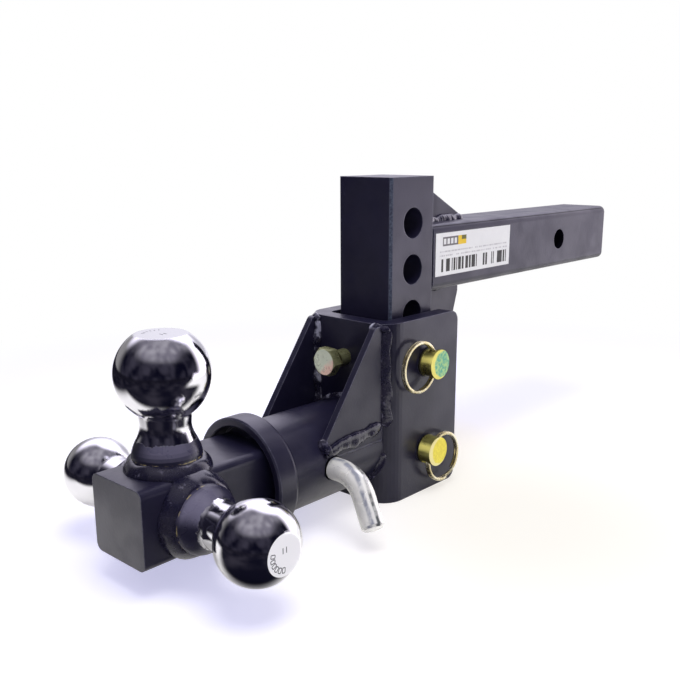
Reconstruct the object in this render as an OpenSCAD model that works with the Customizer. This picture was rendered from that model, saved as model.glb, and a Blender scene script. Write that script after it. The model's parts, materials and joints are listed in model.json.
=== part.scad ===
// Adjustable tri-ball hitch mount for a 2 inch receiver.
// A square shank carries an upright post. A bent channel is pinned to the post at one of several
// heights, and a round sleeve on the channel holds a turnable square head with three tow balls.
// +Z up, +Y towards the vehicle, +X to the side where the pin ends and the split rings show.
// The origin is the centre of the hitch-pin hole through the shank. All lengths in mm.

/* [Part shown] */
// Node to draw, or all

/* [Shank] */
// Outer width of the square shank
shank_w = 50.8; // [50:0.2:51]
// Wall thickness of the shank tube
shank_wall = 6.35; // [4:0.05:8]
// Outer corner radius of the shank tube
shank_corner_r = 6; // [3:0.5:7]
// Distance from the pin hole to the post axis
hole_to_post = 217; // [190:1:240]
// Distance from the pin hole to the free end
hole_to_end = 88; // [60:1:110]
// Radius of the hitch-pin hole through the shank
shank_hole_r = 8.75; // [8.2:0.05:9]

/* [Shank gussets and label] */
// Thickness of the two plates on the post's rear
shank_gus_t = 9.5; // [6:0.5:12]
// Length of the upper plate along the shank
upper_gus_l = 66; // [64:1:90]
// Length of the lower plate along the shank
lower_gus_l = 62; // [40:1:80]
// Depth of the lower plate below the shank axis
lower_gus_z = 150; // [130:1:155]
// Length of the label
label_l = 104; // [80:1:110]
// Height of the label
label_h = 33; // [20:1:36]

/* [Post] */
// Width of the square post
post_w = 50.8; // [50:0.2:51]
// Bevel on the long edges of the post
post_bevel = 1.8; // [0.5:0.1:3]
// Height of the post above the shank axis
post_top = 61.6; // [58:0.2:66]
// Depth of the post below the shank axis
post_bottom = 161.5; // [158:0.5:168]
// Height of the top hole above the shank axis
hole_top = 28.4; // [27:0.2:30]
// Vertical pitch of the height holes
hole_pitch = 34; // [33.5:0.1:34.4]
// Number of height holes
hole_count = 6; // [6]
// Radius of the height holes
height_hole_r = 11.2; // [11.15:0.05:11.2]

/* [Channel] */
// Half of the outer width of the channel
ch_half = 40.5; // [39.5:0.5:42]
// Plate thickness of the channel
ch_t = 12.7; // [10:0.1:13]
// Outer bend radius of the channel
ch_bend_r = 18; // [16:0.5:20]
// Distance from the post axis to the front face
ch_front = 47; // [46:0.5:49]
// Distance from the post axis to the rear edges
ch_rear = 38; // [32:0.5:42]
// Height of the channel's top edge
ch_top = -39.2; // [-42:0.2:-38]
// Height of the channel's bottom edge
ch_bottom = -175.4; // [-178:0.2:-172]
// Radius on the upper and lower rear corners
ch_corner_r = 8; // [4:1:12]

/* [Sleeve and collar] */
// Outer radius of the sleeve tube
sleeve_r = 34; // [33:0.5:36]
// Height of the sleeve axis
sleeve_z = -132.1; // [-134:0.1:-130]
// Distance from the post axis to the tube's front end
sleeve_front = 140; // [138:0.5:141]
// Outer radius of the collar
collar_r = 41.5; // [40:0.5:43]
// Inner radius of the collar's cup
cup_r = 35.4; // [34.6:0.1:36]
// Distance from the post axis to the collar's rear face
collar_rear = 135.2; // [133:0.2:136]
// Distance from the post axis to the collar's front rim
collar_front = 152.4; // [148:0.2:156]

/* [Gussets on the channel] */
// Distance from the centre plane to a gusset's outer face
gus_x = 33.5; // [32:0.5:34]
// Thickness of the gusset plates
gus_t = 5; // [4:0.5:6]
// Distance from the post axis to the lower tip of a gusset
gus_tip = 102; // [96:1:106]

/* [Ball head] */
// Width of the square head bar
head_w = 50.4; // [48:0.2:50.8]
// Corner radius of the head bar
head_corner_r = 5; // [3:0.5:6]
// Distance from the post axis to the front face of the head
head_front = 245.2; // [240:0.2:250]
// Distance from the post axis to the ball centres
ball_y = 207.8; // [204:0.2:211]
// Radius of the round stub inside the sleeve
stub_r = 25.4; // [24:0.1:25.4]
// Diameter of the top ball
top_ball_d = 58.74; // [50.8:0.01:58.74]
// Diameter of the right ball
right_ball_d = 50.8; // [47.62:0.01:58.74]
// Diameter of the left ball
left_ball_d = 47.62; // [47.62:0.01:58.74]

/* [Pins] */
// Radius of the two clevis pins
clevis_r = 11.1; // [11.05:0.05:11.1]
// Height hole that holds the upper clevis pin, counted from the top
upper_hole = 3; // [3]
// Height hole that holds the lower clevis pin, counted from the top
lower_hole = 5; // [5]
// Turn of the lower clevis pin about its own axis
lower_turn = -32; // [-60:1:0]
// Turn of the bolt's hexagon about its own axis
bolt_turn = 4; // [0:1:59]
// Radius of the bent hitch pin
hitch_r = 7.94; // [7.5:0.02:7.94]
// Distance from the post axis to the hitch pin
hitch_y = 95.8; // [94:0.2:98]
// Bend angle of the hitch pin
hitch_bend = 53; // [40:1:70]
// Turn of the hitch pin about its own axis
hitch_turn = -19; // [-40:1:40]

/* [Hidden] */
$fn = 96;
eps = 0.01;
half = post_w / 2;
sh = shank_w / 2;
py = -hole_to_post;
pin_x_end = 52.7;
upper_z = hole_top - upper_hole * hole_pitch;
lower_z = hole_top - lower_hole * hole_pitch;
front_y = py - ch_front;
rear_y = py + ch_rear;
hh = head_w / 2;
bolt_z = -67.7;
bolt_r = 6.35;
bolt_head_af = 19;
bolt_head_front = py - 69.5;
bolt_head_h = 8;
bolt_face_r = 9.2;
bolt_chamfer = 1.6;
bolt_neck_r = 5.6;
bolt_neck_l = 4.6;
ring_r = 18.3;
ring_radial = 2.4;
ring_axial = 3.6;
ring_x = 46.5;
neck_r = 10;
pin_disc_t = 2.3;
clevis_head_r = 14.5;
clevis_head_t = 4.8;
head_gap = 0.2;
upper_ring_hole_r = 3.75;
lower_ring_hole_r = 4.1;
clip_x = -43.5;
clip_wire_r = 1.5;
shank_bead_leg = 5;
shank_bead_l = 60;
shank_bead_h = 24;
sleeve_bead_leg = 5;
collar_bead_leg = 2.5;
label_start = 28;
label_mid_z = 2;
label_t = 0.2;
sleeve_hole_r = 8.7;
pin_gap = 0.07;
spigot_r = 10;
spigot_l = 13;
foot_r = 21.8;
top_reach = 58.1;
right_reach = 56;
left_reach = 54.4;
top_flat_r = 16;
right_flat_r = 12.5;
left_flat_r = 11.5;
top_bell_l = 20;
side_bell_l = 14;
top_waist_r = 15.8;
right_waist_r = 14.8;
left_waist_r = 14.4;
top_foot_h = 7;
side_foot_h = 10.5;
ball_bead_r = 27.6;
joint_step = 0.02;
joint_lap = 0.5;

// Colours of the finishes
black = [0.13, 0.13, 0.15];
chrome = [0.85, 0.86, 0.88];
zinc = [0.82, 0.80, 0.45];
steel = [0.75, 0.76, 0.78];

// Points of an arc, from angle a0 to a1 in n steps
function arc(cx, cy, r, a0, a1, n) =
    [for (i = [0 : n]) let (a = a0 + (a1 - a0) * i / n) [cx + r * cos(a), cy + r * sin(a)]];

// Outline of a square of half width h with corners of radius r
function round_square(h, r, n = 6) = concat(
    arc(h - r, h - r, r, 0, 90, n), arc(r - h, h - r, r, 90, 180, n),
    arc(r - h, r - h, r, 180, 270, n), arc(h - r, r - h, r, 270, 360, n));

// Outer outline of the channel seen from above, rear edges first
function channel_outer() = concat(
    [[ch_half, rear_y], [-ch_half, rear_y]],
    arc(-ch_half + ch_bend_r, front_y + ch_bend_r, ch_bend_r, 180, 270, 9),
    arc(ch_half - ch_bend_r, front_y + ch_bend_r, ch_bend_r, 270, 360, 9));

// Inner outline of the channel, run past the rear so that the channel is open there
function channel_inner() = let (r = ch_bend_r - ch_t, h = ch_half - ch_t, f = front_y + ch_t) concat(
    [[h, rear_y + 5], [-h, rear_y + 5]],
    arc(-h + r, f + r, r, 180, 270, 5),
    arc(h - r, f + r, r, 270, 360, 5));

// Extrudes a YZ outline along +X from x0 to x1
module plate_x(x0, x1) {
    translate([x0, 0, 0]) rotate([90, 0, 90]) linear_extrude(x1 - x0) children();
}

// Extrudes an XZ outline along Y from y0 to y1
module bar_y(y0, y1) {
    translate([0, y1, 0]) rotate([90, 0, 0]) linear_extrude(y1 - y0) children();
}

// Cylinder along X from x0 to x1
module rod_x(r, x0, x1) {
    translate([x0, 0, 0]) rotate([0, 90, 0]) cylinder(r = r, h = x1 - x0);
}

// Cylinder along Y from y0 to y1
module rod_y(r, y0, y1) {
    translate([0, y0, 0]) rotate([-90, 0, 0]) cylinder(r = r, h = y1 - y0);
}

module shank_tube() {
    color(black) difference() {
        bar_y(py + half, hole_to_end) polygon(round_square(sh, shank_corner_r));
        bar_y(py + half - 1, hole_to_end + 1)
            polygon(round_square(sh - shank_wall, max(1, shank_corner_r - shank_wall + 2), 4));
        rod_x(shank_hole_r, -sh - 5, sh + 5);
    }
}

module post() {
    h = half;
    b = post_bevel;
    color(black) difference() {
        translate([0, py, -post_bottom]) linear_extrude(post_top + post_bottom)
            polygon([[h - b, -h], [h, -h + b], [h, h - b], [h - b, h],
                     [b - h, h], [-h, h - b], [-h, b - h], [b - h, -h]]);
        for (i = [0 : hole_count - 1])
            translate([0, py, hole_top - i * hole_pitch]) rod_x(height_hole_r, -h - 5, h + 5);
    }
}

// Sloping plate between the top of the shank and the rear of the post
module upper_shank_gusset() {
    y0 = py + half;
    color(black) plate_x(-shank_gus_t / 2, shank_gus_t / 2)
        polygon([[y0, sh], [y0 + upper_gus_l, sh], [y0 + upper_gus_l, sh + 1.5], [y0 + 5, post_top - 3],
                 [y0 + 2, post_top - 2], [y0, post_top - 2]]);
}

// Long plate below the shank that runs down the rear of the post
module lower_shank_gusset() {
    y0 = py + half;
    color(black) plate_x(-shank_gus_t / 2, shank_gus_t / 2)
        polygon([[y0, -sh], [y0, -lower_gus_z], [y0 + 22, -lower_gus_z], [y0 + 26, 2 - lower_gus_z],
                 [y0 + lower_gus_l, -sh - 8.6], [y0 + lower_gus_l, -sh]]);
}

// Triangular fillet of leg l in the corner at the origin, run along +X
module fillet_x(l, x0, x1) {
    plate_x(x0, x1) polygon([[0, 0], [l, 0], [0, l]]);
}

// One side of the welds round the shank: cross bead on the post, and beads along the gusset
module shank_bead_side() {
    y0 = py + half;
    t = shank_gus_t / 2;
    l = shank_bead_leg;
    translate([0, y0, sh]) fillet_x(l + 1, t, 21);
    translate([t, y0, sh]) rotate([-90, 0, 0]) mirror([0, 1, 0])
        linear_extrude(shank_bead_l) polygon([[0, 0], [l, 0], [0, l]]);
    translate([t, y0, sh]) linear_extrude(shank_bead_h) polygon([[0, 0], [l, 0], [0, l]]);
}

module shank_weld_beads() {
    color(black) {
        shank_bead_side();
        mirror([1, 0, 0]) shank_bead_side();
        mirror([0, 0, 1]) shank_bead_side();
        mirror([0, 0, 1]) mirror([1, 0, 0]) shank_bead_side();
    }
}

// Paper sticker on the side of the shank
module label() {
    color([0.95, 0.95, 0.93]) translate([sh, py + label_start, label_mid_z - label_h / 2])
        cube([label_t, label_l, label_h]);
}

// Cutter for a rounded corner at the rear of the channel, for a corner at height z, dir = +1 top
module corner_cut(z, dir) {
    r = ch_corner_r;
    plate_x(-ch_half - 1, ch_half + 1)
        polygon(concat([[rear_y + 1, z + dir], [rear_y - r, z + dir]],
                       arc(rear_y - r, z - dir * r, r, 90 * dir, 0, 6),
                       [[rear_y + 1, z - dir * r]]));
}

module channel() {
    color(black) difference() {
        translate([0, 0, ch_bottom]) linear_extrude(ch_top - ch_bottom) polygon(channel_outer());
        translate([0, 0, ch_bottom - 1]) linear_extrude(ch_top - ch_bottom + 2) polygon(channel_inner());
        corner_cut(ch_top, 1);
        corner_cut(ch_bottom, -1);
        for (z = [upper_z, lower_z]) translate([0, py, z]) rod_x(height_hole_r, -ch_half - 5, ch_half + 5);
        translate([0, 0, bolt_z]) rod_y(bolt_r + 0.05, front_y - 5, front_y + ch_t + 5);
    }
}

// Space filled by the channel, for trimming the pieces welded to its front
module channel_space() {
    translate([0, 0, ch_bottom - 1]) linear_extrude(ch_top - ch_bottom + 2) polygon(channel_outer());
}

// Cutter for the cross hole that the hitch pin passes through
module hitch_hole() {
    translate([0, py - hitch_y, sleeve_z]) rod_x(sleeve_hole_r, -ch_half - 5, ch_half + 5);
}

module sleeve_tube() {
    color(black) difference() {
        translate([0, 0, sleeve_z]) rod_y(sleeve_r, py - sleeve_front, front_y + 9);
        translate([0, 0, sleeve_z]) rod_y(stub_r + 0.1, py - sleeve_front - 1, front_y + 10);
        channel_space();
        hitch_hole();
    }
}

// Cup-shaped ring round the mouth of the sleeve
module sleeve_collar() {
    l = collar_front - collar_rear;
    seat = sleeve_front - collar_rear;
    color(black) translate([0, py - collar_rear, sleeve_z]) rotate([90, 0, 0]) rotate_extrude()
        polygon(concat([[sleeve_r, 0]], arc(collar_r - 3, 3, 3, -90, 0, 5),
                       [[collar_r, l - 1], [collar_r - 1, l], [cup_r + 0.8, l], [cup_r, l - 0.8],
                        [cup_r, seat], [sleeve_r, seat]]));
}

module collar_weld_bead() {
    color(black) translate([0, py - collar_rear, sleeve_z]) rotate([-90, 0, 0]) rotate_extrude()
        polygon([[sleeve_r, 0], [sleeve_r + collar_bead_leg, 0], [sleeve_r, collar_bead_leg]]);
}

// Triangular plate between the front of the channel and the top of the sleeve
module side_gusset() {
    top = ch_top - 1.5;
    y0 = front_y;
    color(black) difference() {
        plate_x(gus_x - gus_t, gus_x)
            polygon(concat([[y0 + 12, top]], arc(y0 - 1.5, top - 4.5, 4.5, 90, 140, 4),
                           [[py - gus_tip, -112], [py - gus_tip, -133], [y0 + 12, -133]]));
        channel_space();
        translate([0, 0, sleeve_z]) rod_y(sleeve_r, py - 120, front_y + 20);
        hitch_hole();
    }
}

module right_gusset() { side_gusset(); }

module left_gusset() { mirror([1, 0, 0]) side_gusset(); }

// Round bead where the sleeve meets the channel, run back into the channel's bends
module sleeve_bead() {
    l = sleeve_bead_leg;
    difference() {
        translate([0, front_y - l, sleeve_z]) rotate([-90, 0, 0]) rotate_extrude()
            polygon([[sleeve_r - 1, 0], [sleeve_r, 0], [sleeve_r + l, l], [sleeve_r + l, 3 * l],
                     [sleeve_r - 1, 3 * l]]);
        translate([0, 0, sleeve_z]) rod_y(sleeve_r, front_y - 10, front_y + 20);
        channel_space();
        translate([-60, front_y - 20, sleeve_z]) cube([120, 40, 60]);
    }
}

// Beads of one gusset, on the +X side: along the sleeve and up the channel
module gusset_bead_side() {
    difference() {
        gusset_foot_bead();
        translate([0, 0, sleeve_z]) rod_y(sleeve_r, py - 120, front_y + 20);
        channel_space();
        hitch_hole();
        translate([gus_x - gus_t, py - 120, -140]) cube([gus_t, 90, 60]);
    }
    difference() {
        translate([0, 0, -118]) linear_extrude(68)
            polygon([[gus_x, front_y - 2], [gus_x, front_y + 10], [gus_x + 5.5, front_y + 10]]);
        channel_space();
    }
    difference() {
        translate([0, 0, -108]) linear_extrude(58)
            polygon([[gus_x - gus_t, front_y - 4], [gus_x - gus_t, front_y + 2],
                     [gus_x - gus_t - 4, front_y + 2]]);
        channel_space();
    }
}

// Bead that fills the corner between a gusset's outer face and the sleeve
module gusset_foot_bead() {
    bar_y(py - gus_tip + 1, front_y + 4)
        polygon([[gus_x - 2, -111], [gus_x, -111], [gus_x + 3, -117], [gus_x + 2.4, -124],
                 [sleeve_r - 0.3, -129], [gus_x - 3, -129]]);
}

module channel_weld_beads() {
    color(black) {
        sleeve_bead();
        gusset_bead_side();
        mirror([1, 0, 0]) gusset_bead_side();
    }
}

// Hex screw through the channel front that presses on the post
module anti_rattle_bolt() {
    tip = py - half - 0.05;
    neck = bolt_head_front + bolt_head_h;
    color(zinc) translate([0, 0, bolt_z]) {
        difference() {
            translate([0, bolt_head_front, 0]) rotate([-90, bolt_turn, 0])
                cylinder(r = bolt_head_af / 2 / cos(30), h = bolt_head_h, $fn = 6);
            translate([0, bolt_head_front - eps, 0]) rotate([-90, 0, 0]) difference() {
                cylinder(r = bolt_head_af, h = bolt_chamfer);
                translate([0, 0, -eps])
                    cylinder(r1 = bolt_face_r, r2 = bolt_face_r + 3, h = bolt_chamfer + 3 * eps);
            }
        }
        rod_y(bolt_neck_r, neck - 0.5, neck + bolt_neck_l + 0.5);
        rod_y(bolt_r, neck + bolt_neck_l, tip - 1.5);
        rod_y(4.6, tip - 2, tip);
    }
}

// Straight pin with a head on the -X side and a cross hole for the ring near the +X end
module clevis_pin(neck, hole_r) {
    difference() {
        union() {
            rod_x(clevis_head_r, -ch_half - head_gap - clevis_head_t, -ch_half - head_gap);
            rod_x(clevis_r, -ch_half - 1, neck ? ch_half + 1.5 : pin_x_end);
            if (neck) {
                rod_x(neck_r, ch_half, pin_x_end - 1);
                rod_x(clevis_r, pin_x_end - pin_disc_t, pin_x_end);
            }
        }
        translate([ring_x, 0, -clevis_r - 5]) cylinder(r = hole_r, h = 2 * clevis_r + 10);
    }
}

// Closed wire ring lying in a plane of constant X, its centre d along +Y from the pin axis
module split_ring(d) {
    translate([ring_x, d, 0]) rotate([0, 90, 0]) rotate_extrude()
        translate([ring_r, 0]) polygon([
            [-ring_radial / 2 + 0.4, -ring_axial / 2], [ring_radial / 2 - 0.6, -ring_axial / 2],
            [ring_radial / 2, -ring_axial / 2 + 0.7], [ring_radial / 2, -0.4],
            [ring_radial / 2 - 0.5, 0], [ring_radial / 2, 0.4],
            [ring_radial / 2, ring_axial / 2 - 0.7], [ring_radial / 2 - 0.6, ring_axial / 2],
            [-ring_radial / 2 + 0.4, ring_axial / 2], [-ring_radial / 2, ring_axial / 2 - 0.5],
            [-ring_radial / 2, -ring_axial / 2 + 0.5]]);
}

// Offset of a ring's centre from the pin axis when its wire is centred in a hole of half length c
function ring_offset(c) = (ring_r + sqrt(ring_r * ring_r - c * c)) / 2;

module upper_clevis_pin() {
    color(zinc) translate([0, py, upper_z]) clevis_pin(true, upper_ring_hole_r);
}

module upper_split_ring() {
    color(zinc) translate([0, py, upper_z]) split_ring(-ring_offset(neck_r));
}

module lower_clevis_pin() {
    color(zinc) translate([0, py, lower_z]) rotate([lower_turn, 0, 0]) clevis_pin(false, lower_ring_hole_r);
}

module lower_split_ring() {
    color(zinc) translate([0, py, lower_z]) rotate([lower_turn, 0, 0]) split_ring(ring_offset(clevis_r));
}

// Bent pin: straight along X through the sleeve, then a bend and a short grip pointing down.
// The straight parts are a hair thinner than the bend and run a little way into it.
module hitch_pin() {
    bend_r = 31;
    bend_x = 41;
    grip = 22;
    a = hitch_bend;
    r = hitch_r;
    s = r - joint_step;
    start = clip_x - 9;
    color(steel) translate([0, py - hitch_y, sleeve_z]) rotate([hitch_turn, 0, 0]) difference() {
        union() {
            rotate([0, 90, 0]) rotate_extrude()
                polygon([[0, start], [s - 2.5, start], [s, start + 3],
                         [s, bend_x + joint_lap], [0, bend_x + joint_lap]]);
            translate([bend_x, 0, -bend_r]) rotate([90, 0, 0]) rotate([0, 0, 90 - a])
                rotate_extrude(angle = a) translate([bend_r, 0]) circle(r = r);
            translate([bend_x + bend_r * sin(a), 0, -bend_r + bend_r * cos(a)]) rotate([0, 90 + a, 0])
                rotate_extrude() polygon([[0, -joint_lap], [s, -joint_lap], [s, grip - 1.5],
                                          [s - 1.5, grip], [0, grip]]);
        }
        translate([clip_x, 0, -hitch_r - 2]) cylinder(r = clip_wire_r + 0.3, h = 2 * hitch_r + 4);
    }
}

// Piece of round wire of radius w bent to radius r about (u, v), from angle a0 to a1
module wire_arc(u, v, r, a0, a1, w) {
    translate([u, v, 0]) rotate([0, 0, a0]) rotate_extrude(angle = a1 - a0)
        translate([r, 0]) circle(r = w, $fn = 32);
}

// Straight wire of radius w from (u, v0) to (u, v1)
module wire_line(u, v0, v1, w) {
    translate([u, v0, 0]) rotate([-90, 0, 0]) cylinder(r = w, h = v1 - v0, $fn = 32);
}

// Hairpin clip: one leg through the pin, the other hugging it, joined by an eye
module hitch_pin_clip() {
    w = clip_wire_r;
    thin = w - joint_step;
    hug = hitch_r + w + 0.15;
    out = 5;
    u1 = (hug + out) * cos(50) - out;
    v1 = (hug + out) * sin(50);
    eye_r = 5.2;
    eye_v = 20 + sqrt(eye_r * eye_r - u1 * u1 / 4);
    turn = acos(u1 / 2 / eye_r);
    color(steel) translate([clip_x, py - hitch_y, sleeve_z]) rotate([hitch_turn + 180, 0, 0])
        rotate([90, 0, 90]) union() {
            wire_line(0, -19, 20, w);
            wire_arc(0, 0, hug, -50, 50, w);
            wire_arc(u1 + out, v1, out, 180, 233, thin);
            wire_arc((hug + out) * cos(50), -v1, out, 127, 215, thin);
            wire_line(u1, v1 - joint_lap / 2, 20, w - 2 * joint_step);
            wire_arc(u1 / 2, eye_v, eye_r, -turn, 180 + turn, w);
            for (u = [0, u1]) translate([u, 20, 0]) sphere(r = w + 0.15, $fn = 32);
        }
}

// Position of the ball axes
module at_balls() {
    translate([0, py - ball_y, sleeve_z]) children();
}

// Square bar with a round stub at the rear, cross-drilled twice for the hitch pin
module head_bar() {
    color(black) difference() {
        union() {
            translate([0, 0, sleeve_z]) bar_y(py - head_front, py - sleeve_front - 1)
                polygon(round_square(hh, head_corner_r));
            translate([0, 0, sleeve_z]) rod_y(stub_r, py - sleeve_front - 2, py - hitch_y + 34);
        }
        translate([0, py - hitch_y, sleeve_z]) rod_x(hitch_r + pin_gap, -stub_r - 5, stub_r + 5);
        translate([0, py - hitch_y, sleeve_z - stub_r - 5])
            cylinder(r = hitch_r + pin_gap, h = 2 * stub_r + 10);
        at_balls() for (a = [-90, 0, 90]) rotate([0, a, 0])
            translate([0, 0, hh - spigot_l - 1]) cylinder(r = spigot_r + 0.05, h = 20);
    }
}

// Tow ball standing on z = 0: spigot below, round foot, bell-shaped neck, and a ball with a flat.
// reach is the height of the ball's centre, foot_h that of the foot's rim, bell_l the neck's taper.
module tow_ball(d, reach, flat_r, foot_h, bell_l, waist) {
    r = d / 2;
    cut = sqrt(r * r - flat_r * flat_r);
    low = asin((waist + 0.6) / r);
    rotate_extrude() polygon(concat(
        [[0, -spigot_l], [spigot_r - 1, -spigot_l], [spigot_r, 1 - spigot_l], [spigot_r, 0],
         [foot_r, 0]],
        [for (i = [0 : 9]) let (t = i / 9)
            [waist + (foot_r - waist) * (1 + cos(180 * t)) / 2, foot_h + bell_l * t]],
        [for (i = [0 : 36]) let (a = 180 - low - (180 - low - asin(flat_r / r)) * i / 36)
            [r * sin(a), reach + r * cos(a)]],
        [[0, reach + cut]]));
}

module top_ball() {
    color(chrome) at_balls() translate([0, 0, hh]) 
        tow_ball(top_ball_d, top_reach, top_flat_r, top_foot_h, top_bell_l, top_waist_r);
}

module right_ball() {
    color(chrome) at_balls() rotate([0, 90, 0]) translate([0, 0, hh])
        tow_ball(right_ball_d, right_reach, right_flat_r, side_foot_h, side_bell_l, right_waist_r);
}

module left_ball() {
    color(chrome) at_balls() rotate([0, -90, 0]) translate([0, 0, hh])
        tow_ball(left_ball_d, left_reach, left_flat_r, side_foot_h, side_bell_l, left_waist_r);
}

// Bead round the foot of a ball up to height h, trimmed to the width of the bar
module ball_bead(h) {
    intersection() {
        difference() {
            translate([0, 0, hh - 6]) union() {
                cylinder(r = ball_bead_r, h = 6.2);
                translate([0, 0, 6.2]) cylinder(r1 = ball_bead_r, r2 = foot_r + 0.1, h = h - 0.8);
            }
            cylinder(r = foot_r + 0.05, h = 60);
            rotate([90, 0, 0]) translate([0, 0, -40]) linear_extrude(80)
                polygon(round_square(hh, head_corner_r));
        }
        translate([-hh - 1, -40, hh - 1.2]) cube([head_w + 2, 80, 20]);
    }
}

module ball_weld_beads() {
    color(black) at_balls() {
        ball_bead(top_foot_h);
        for (a = [-90, 90]) rotate([0, a, 0]) ball_bead(side_foot_h);
    }
}

shank_tube();
post();
upper_shank_gusset();
lower_shank_gusset();
shank_weld_beads();
label();
channel();
sleeve_tube();
sleeve_collar();
collar_weld_bead();
left_gusset();
right_gusset();
channel_weld_beads();
anti_rattle_bolt();
upper_clevis_pin();
upper_split_ring();
lower_clevis_pin();
lower_split_ring();
hitch_pin();
hitch_pin_clip();
head_bar();
top_ball();
right_ball();
left_ball();
ball_weld_beads();
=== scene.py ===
"""Looks of an adjustable tri-ball hitch mount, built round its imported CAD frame.

The CAD nodes keep their shape and get procedural finishes: satin black powder coat, chrome, yellow,
green and bright zinc, and a printed film label. The weld beads and the two split rings are built
here as real meshes that stand for their plain CAD nodes. Metres throughout, +Z up, +Y towards the
vehicle.
"""

import json
import math
import random

import bpy
from mathutils import Matrix, Vector, noise

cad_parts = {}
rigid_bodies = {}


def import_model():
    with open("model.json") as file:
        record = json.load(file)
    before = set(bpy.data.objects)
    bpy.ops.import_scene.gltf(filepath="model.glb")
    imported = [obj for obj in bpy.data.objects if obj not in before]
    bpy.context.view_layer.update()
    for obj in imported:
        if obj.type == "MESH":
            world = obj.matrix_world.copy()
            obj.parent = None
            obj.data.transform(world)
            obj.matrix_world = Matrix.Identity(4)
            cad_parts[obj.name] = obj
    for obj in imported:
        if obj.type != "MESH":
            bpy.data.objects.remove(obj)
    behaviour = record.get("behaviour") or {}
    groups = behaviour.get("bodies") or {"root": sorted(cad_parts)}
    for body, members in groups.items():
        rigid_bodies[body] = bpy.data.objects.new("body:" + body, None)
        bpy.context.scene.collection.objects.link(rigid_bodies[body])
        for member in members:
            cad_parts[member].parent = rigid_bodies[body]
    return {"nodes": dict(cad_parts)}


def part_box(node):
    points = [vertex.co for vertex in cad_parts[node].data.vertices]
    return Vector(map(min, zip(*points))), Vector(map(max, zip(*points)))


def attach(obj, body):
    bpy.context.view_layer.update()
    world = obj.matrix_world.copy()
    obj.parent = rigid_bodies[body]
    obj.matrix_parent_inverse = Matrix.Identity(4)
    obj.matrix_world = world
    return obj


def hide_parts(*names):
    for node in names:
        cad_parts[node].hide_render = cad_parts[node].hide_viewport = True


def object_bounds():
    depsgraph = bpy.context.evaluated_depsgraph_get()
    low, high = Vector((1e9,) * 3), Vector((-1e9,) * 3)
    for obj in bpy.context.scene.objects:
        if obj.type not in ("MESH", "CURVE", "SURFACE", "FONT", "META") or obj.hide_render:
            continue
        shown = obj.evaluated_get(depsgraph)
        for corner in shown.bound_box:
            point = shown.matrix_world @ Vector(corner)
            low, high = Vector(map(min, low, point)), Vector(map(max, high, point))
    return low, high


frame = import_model()
cad_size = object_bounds()
NODES = frame["nodes"]

MM = 0.001
X, Y, Z = Vector((1, 0, 0)), Vector((0, 1, 0)), Vector((0, 0, 1))

# ---------------------------------------------------------------- places read from the frame
POST_LO, POST_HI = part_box("post")
CHANNEL_LO, CHANNEL_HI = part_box("channel")
SLEEVE_LO, SLEEVE_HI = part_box("sleeve_tube")
GUSSET_LO, GUSSET_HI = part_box("right_gusset")
LABEL_LO, LABEL_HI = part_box("label")
BOLT_LO, BOLT_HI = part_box("anti_rattle_bolt")
SHANK_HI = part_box("shank_tube")[1]
COLLAR_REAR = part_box("sleeve_collar")[1].y

POST_REAR = POST_HI.y
SHANK_HALF = SHANK_HI.x
SHANK_GUSSET_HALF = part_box("upper_shank_gusset")[1].x
SLEEVE_Z = (SLEEVE_LO.z + SLEEVE_HI.z) / 2
SLEEVE_R = SLEEVE_HI.x
HEAD_HALF = SLEEVE_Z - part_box("head_bar")[0].z
BOLT_Z = (BOLT_LO.z + BOLT_HI.z) / 2
FLOOR_Z = CHANNEL_LO.z

CHANNEL_BEND = 18 * MM  # outer bend radius of the channel
HEAD_CORNER = 5 * MM  # corner radius of the head bar
POST_BEVEL = 1.8 * MM  # leg of the bevel on the post's long edges
SHANK_HOLE_R = 8.75 * MM  # radius of the shank's cross hole, whose axis is the frame's X axis
BOLT_NECK = (8.0 * MM, 12.6 * MM)  # start and end of the bolt's neck, from the face of its head

BALL_Y = (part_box("top_ball")[0].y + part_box("top_ball")[1].y) / 2
FOOT_R = 21.8 * MM  # radius of the three balls' feet
# A ball's node, the way it points, the direction across the bar beside it, the height of its
# foot's rim above the bar, and how far up its neck the paint reaches
BALLS = (("top_ball", Z, X, 7.0 * MM, 18.0 * MM), ("right_ball", X, Z, 10.5 * MM, 21.3 * MM),
         ("left_ball", -X, Z, 10.5 * MM, 20.5 * MM))

# ---------------------------------------------------------------- the way the camera looks
AZIMUTH, ELEVATION, ROLL = math.radians(42.6), math.radians(13.92), math.radians(-0.18)
LEVEL = Vector((math.cos(AZIMUTH), math.sin(AZIMUTH), 0))  # rightwards in the main view

# ---------------------------------------------------------------- colours, as linear RGB
PAINT_DARK = (0.0090, 0.0082, 0.0250)
PAINT_LIGHT = (0.0165, 0.0150, 0.0360)
PAINT_DUST = (0.10, 0.095, 0.12)
PAINT_EDGE_HIGHLIGHT = (0.15, 0.15, 0.21)  # painted highlight along the coat's edges
PAINT_CORNER_HIGHLIGHT = (0.085, 0.105, 0.150)  # painted highlight on the post's bevelled corners
PAINT_SHEEN = (0.170, 0.160, 0.235)  # painted sheen on top of a ball's foot
WELD_LIGHT = (0.022, 0.020, 0.036)
# Painted glints on the weld paint: pale flecks, and brighter ones between the gussets
WELD_FLECK = (0.19, 0.18, 0.25)
WELD_GLINT = (0.33, 0.33, 0.42)
RIM_GLINT = (0.34, 0.28, 0.13)  # painted golden glints of bare metal on the rim of a ball's foot
# Painted shade inside the shank's bore and cross hole
BORE_SHADE = (0.003, 0.003, 0.006)
# Painted shade where the clevis pins go into the channel
HOLE_SHADE = (0.012, 0.011, 0.010)
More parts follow.
